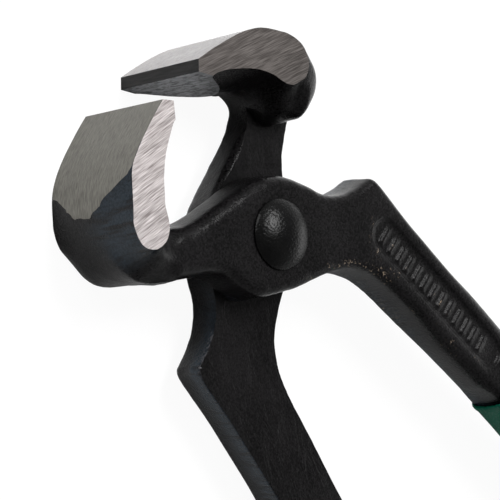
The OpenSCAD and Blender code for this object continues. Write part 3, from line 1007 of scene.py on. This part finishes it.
def black_material(name):
    """Satin black lacquer over a forged skin: fine grain, bluish trimmed bands, a few worn flecks, and a
    painted highlight of light specks along the outer side's edge next to the mating face.
    """
    s = Shader(name)
    broad = s.noise(CLOUD_SCALE, 3)
    grain = s.noise(GRAIN_SCALE, 3, 0.65)
    fine = s.noise(FINE_SCALE, 1)
    across = s.noise(420, 3, 0.6, s.stretched((1, 2.6, 0.22), math.radians(-20)))
    trim = s.product(s.vertex("trim"), s.ramp(across, (0.36, 0.15), (0.5, 1)))
    colour = lacquer_colour(s, broad, fine, 0.7)
    colour = s.mix(trim, colour, s.mix(s.span(grain, 0.4, 0.6, 0, 1), TRIM_DARK, TRIM_BLUE))
    colour = s.mix(worn_share(s), colour, WORN_TAN)
    # Painted highlight: light specks where the 'edge' values mark the outer side's edge next to the
    # mating face.
    specks = s.ramp(s.noise(1700, 2), (0.46, 0.1), (0.56, 1))
    colour = s.mix(s.product(s.vertex("edge"), specks), colour, PAINTED_EDGE_HIGHLIGHT)
    marks = s.product(s.vertex("trim"), s.ramp(across, (0.38, 0), (0.5, 1)))
    normal = s.bump(grain, 0.08, s.bump(s.noise(260, 3), 0.035))
    normal = s.bump(marks, 0.05, s.bump(fine, 0.03, normal))
    return s.finish(base_color=colour, roughness=s.span(broad, *NOISE_MID, 0.22, 0.28), normal=normal,
                    specular_ior_level=0.095)


def mating_material(name):
    """The lacquer on the flat mating faces, with faint wrinkles."""
    s = Shader(name)
    broad = s.noise(CLOUD_SCALE, 3)
    grain = s.noise(GRAIN_SCALE, 3, 0.65)
    wrinkles = s.noise(330, 4, 0.6, s.stretched((1, 0.45, 1), math.radians(30)), 1.2)
    colour = lacquer_colour(s, broad, s.noise(FINE_SCALE, 1), 0.6)
    normal = s.bump(grain, 0.09, s.bump(wrinkles, 0.24))
    return s.finish(base_color=colour, roughness=s.span(broad, *NOISE_MID, 0.3, 0.38), normal=normal,
                    specular_ior_level=0.07)


def steel_material(name):
    """Ground steel: fine parallel scratches with a few deeper ones."""
    light, dark, turn, streak, roughness, depth = STEELS_WITH_PAINTED_LIGHT[name]
    s = Shader(name)
    place = s.stretched(streak, math.radians(turn))
    lines = s.noise(LINE_SCALE, 1, 0.5, place)
    broad_lines = s.noise(BROAD_LINE_SCALE, 1, 0.5, place)
    deep = s.ramp(s.noise(DEEP_LINE_SCALE, 2, 0.5, place), (0.60, 0), (0.68, 1))
    share = s.math("ADD", s.span(lines, 0.38, 0.6, 0, 0.65), s.span(broad_lines, 0.38, 0.6, 0, 0.35))
    colour = s.mix(share, dark, light)
    colour = s.mix(s.product(deep, 0.35), colour, tuple(0.45 * c for c in dark))
    colour = s.mix(s.span(s.noise(160, 2), *NOISE_CORE, 0, 0.12), colour, dark)
    rough = s.span(broad_lines, *NOISE_MID, roughness - 0.05, roughness + 0.07)
    return s.finish(base_color=colour, metallic=1.0, roughness=rough, normal=s.bump(lines, depth))


def speckled_material(name):
    """The inner bevel: coarse grey ground steel with dark specks left in it."""
    s = Shader(name)
    lines = s.noise(1800, 3, 0.6, s.stretched((1, 1, 0.16)))
    specks = s.ramp(s.noise(1300, 4, 0.7, s.stretched((1, 1, 0.4))), (0.42, 1), (0.5, 0))
    colour = s.mix(s.span(lines, *NOISE_MID, 0, 1), INNER_DARK, INNER_LIGHT)
    colour = s.mix(s.product(specks, 0.75), colour, INNER_SPECK)
    return s.finish(base_color=colour, metallic=0.9, roughness=0.5, normal=s.bump(lines, 0.01))


def land_material(name):
    """The flat of the cutting edge, dark and fine."""
    s = Shader(name)
    lines = s.noise(2600, 2, 0.5, s.stretched((1, 1, 0.1)))
    colour = s.mix(s.span(lines, *NOISE_MID, 0, 1), LAND_DARK, LAND_LIGHT)
    return s.finish(base_color=colour, metallic=0.8, roughness=0.5, normal=s.bump(lines, 0.006))


def rivet_material(name):
    """The lacquered rivet, with a pitted skin."""
    s = Shader(name)
    broad = s.noise(240, 2)
    grain = s.noise(2100, 3, 0.6)
    colour = s.mix(s.span(broad, *NOISE_CORE, 0, 1), RIVET_DARK, RIVET_LIGHT)
    normal = s.bump(s.noise(2400, 1), 0.07, s.bump(grain, 0.04, s.bump(broad, 0.05)))
    return s.finish(base_color=colour, roughness=s.span(grain, *NOISE_MID, 0.22, 0.3), normal=normal,
                    specular_ior_level=0.12)


def grip_material(name):
    """Glossy green dipped plastic, with faint ripples and specks."""
    s = Shader(name)
    ripple = s.noise(150, 2)
    fine = s.noise(1900, 2)
    colour = s.mix(s.span(ripple, *NOISE_MID, 0, 1), GREEN_DARK, GREEN_LIGHT)
    normal = s.bump(fine, 0.003, s.bump(ripple, 0.09))
    return s.finish(base_color=colour, roughness=s.span(fine, *NOISE_MID, 0.22, 0.3), normal=normal,
                    specular_ior_level=0.035)


# The floor: to the camera mostly a plain glow, so that it is white, and the rest keeps the shadow.
FLOOR_GLOW = 1.02
FLOOR_GLOW_SHARE = 0.92
FLOOR_HALF = 3


def floor_material(name):
    """A white floor that keeps the object's shadow."""
    s = Shader(name)
    cloud = s.span(s.noise(3, 2), *NOISE_MID, 0.9, 0.93)
    s.finish(base_color=s.mix(cloud, (0, 0, 0), (1, 1, 1)), roughness=0.7, specular_ior_level=0.1)
    glow = s.add("ShaderNodeEmission", {"Strength": FLOOR_GLOW})
    ray = s.add("ShaderNodeLightPath")
    share = s.product(ray.outputs["Is Camera Ray"], FLOOR_GLOW_SHARE)
    mixed = s.add("ShaderNodeMixShader", {0: share, 1: s.surface.outputs[0], 2: glow.outputs[0]})
    s.tree.links.new(mixed.outputs[0], s.tree.nodes["Material Output"].inputs["Surface"])
    return s.material


def make_floor():
    h = FLOOR_HALF
    corners = [(-h, -h, 0), (h, -h, 0), (h, h, 0), (-h, h, 0)]
    floor = mesh_object("floor", corners, [(0, 1, 2, 3)], floor_material("floor_white"))


# The sky: white at the horizon, darker overhead and on the left. A pair is where it starts and ends.
WORLD_HORIZON = 1.0
WORLD_TOP = 0.5
WORLD_UP = (0.0, 0.6)
WORLD_LEFT = 0.5
WORLD_ACROSS = (-0.8, 0.1)
# Each softbox: the way to it from the pivot, how far it is, its width and height, its radiance.
SOFTBOXES = {
    "key_softbox": ((0.36, 0.28, 0.89), 0.62, 0.15, 0.32, 27.5),
    "jaw_softbox": ((-0.12, 0.93, 0.36), 0.62, 0.34, 0.24, 6.5),
    "side_softbox": ((0.66, -0.72, 0.22), 0.7, 0.4, 0.25, 1.8),
}


def fade_node(tree, value, ends, to_low, to_high):
    """A node that turns a value between two ends into one between two strengths."""
    node = tree.nodes.new("ShaderNodeMapRange")
    settings = {"From Min": ends[0], "From Max": ends[1], "To Min": to_low, "To Max": to_high}
    for key, setting in settings.items():
        node.inputs[key].default_value = setting
    tree.links.new(value, node.inputs["Value"])
    return node


def make_world():
    """The sky, as in a studio with the lamps at the sides."""
    world = bpy.data.worlds.new("studio")
    bpy.context.scene.world = world
    world.use_nodes = True
    tree = world.node_tree
    background = tree.nodes["Background"]
    background.inputs["Color"].default_value = (1, 1, 1, 1)
    place = tree.nodes.new("ShaderNodeTexCoord")
    split = tree.nodes.new("ShaderNodeSeparateXYZ")
    tree.links.new(place.outputs["Generated"], split.inputs[0])
    up = fade_node(tree, split.outputs["Z"], WORLD_UP, WORLD_HORIZON, WORLD_TOP)
    up.interpolation_type = "SMOOTHSTEP"
    across = fade_node(tree, split.outputs["X"], WORLD_ACROSS, WORLD_LEFT, 1)
    both = tree.nodes.new("ShaderNodeMath")
    both.operation = "MULTIPLY"
    tree.links.new(up.outputs["Result"], both.inputs[0])
    tree.links.new(across.outputs["Result"], both.inputs[1])
    tree.links.new(both.outputs[0], background.inputs["Strength"])


def make_lights():
    for name, (way, distance, width, height, radiance) in SOFTBOXES.items():
        data = bpy.data.lights.new(name, "AREA")
        data.shape = "RECTANGLE"
        data.size, data.size_y = width, height
        data.energy = radiance * math.pi * width * height
        lamp = bpy.data.objects.new(name, data)
        to_lamp = Vector(way).normalized()
        lamp.location = PIVOT + to_lamp * distance
        lamp.rotation_euler = to_lamp.to_track_quat("Z", "Y").to_euler()
        bpy.context.scene.collection.objects.link(lamp)


def lever_finishes():
    """The two levers' finishes: the same ground steel on both, its colours painted lighter on the front
    lever's side face and on the rear lever's bevel and darker on the other two, as painted light and
    shade.
    """
    inner = speckled_material("inner_bevel_steel")
    land = land_material("edge_land_steel")
    black = black_material("black_lacquer")
    mating = mating_material("mating_lacquer")
    shared = {"inner": inner, "land": land, "black": black, "mating": mating}
    return [{**shared, "side": steel_material(f"{lever}_face_steel"),
             "bevel": steel_material(f"{lever}_bevel_steel")} for lever in ("front", "rear")]


# How sharp a crease has to be, in degrees, to be shaded as an edge.
LEVER_CREASE = 32
SOFT_CREASE = 50


def dress(piece, name, place, body, node, angle):
    """Puts a piece that was made in millimetres in its place on its body, and hides the part that it
    stands for.
    """
    piece.name = name
    piece.data.transform(place)
    sharpen(piece.data, angle)
    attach(piece, body)
    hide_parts(node)


def copy_of(piece):
    """A second piece with a mesh of its own."""
    twin = piece.copy()
    twin.data = piece.data.copy()
    bpy.context.scene.collection.objects.link(twin)
    return twin


def make_levers():
    front_finish, rear_finish = lever_finishes()
    front = make_lever_mesh(front_finish)
    rear = copy_of(front)
    swap = {front_finish[key].name: rear_finish[key] for key in front_finish}
    for i, material in enumerate(front.data.materials):
        rear.data.materials[i] = swap[material.name]
    dress(front, "front_forging", FRONT, "front", "front_lever", LEVER_CREASE)
    dress(rear, "rear_forging", REAR, "rear", "rear_lever", LEVER_CREASE)


def make_grips():
    front = make_grip_mesh(grip_material("green_grip_plastic"))
    rear = copy_of(front)
    dress(front, "front_sleeve", FRONT, "front", "front_grip", SOFT_CREASE)
    dress(rear, "rear_sleeve", REAR, "rear", "rear_grip", SOFT_CREASE)


def make_rivet():
    rivet = make_rivet_mesh(rivet_material("rivet_lacquer"))
    dress(rivet, "peened_rivet", FRONT, "front", "pivot_rivet", SOFT_CREASE)


make_camera()
make_levers()
make_rivet()
make_grips()
make_floor()
make_world()
make_lights()
bpy.context.scene.view_settings.view_transform = "Standard"
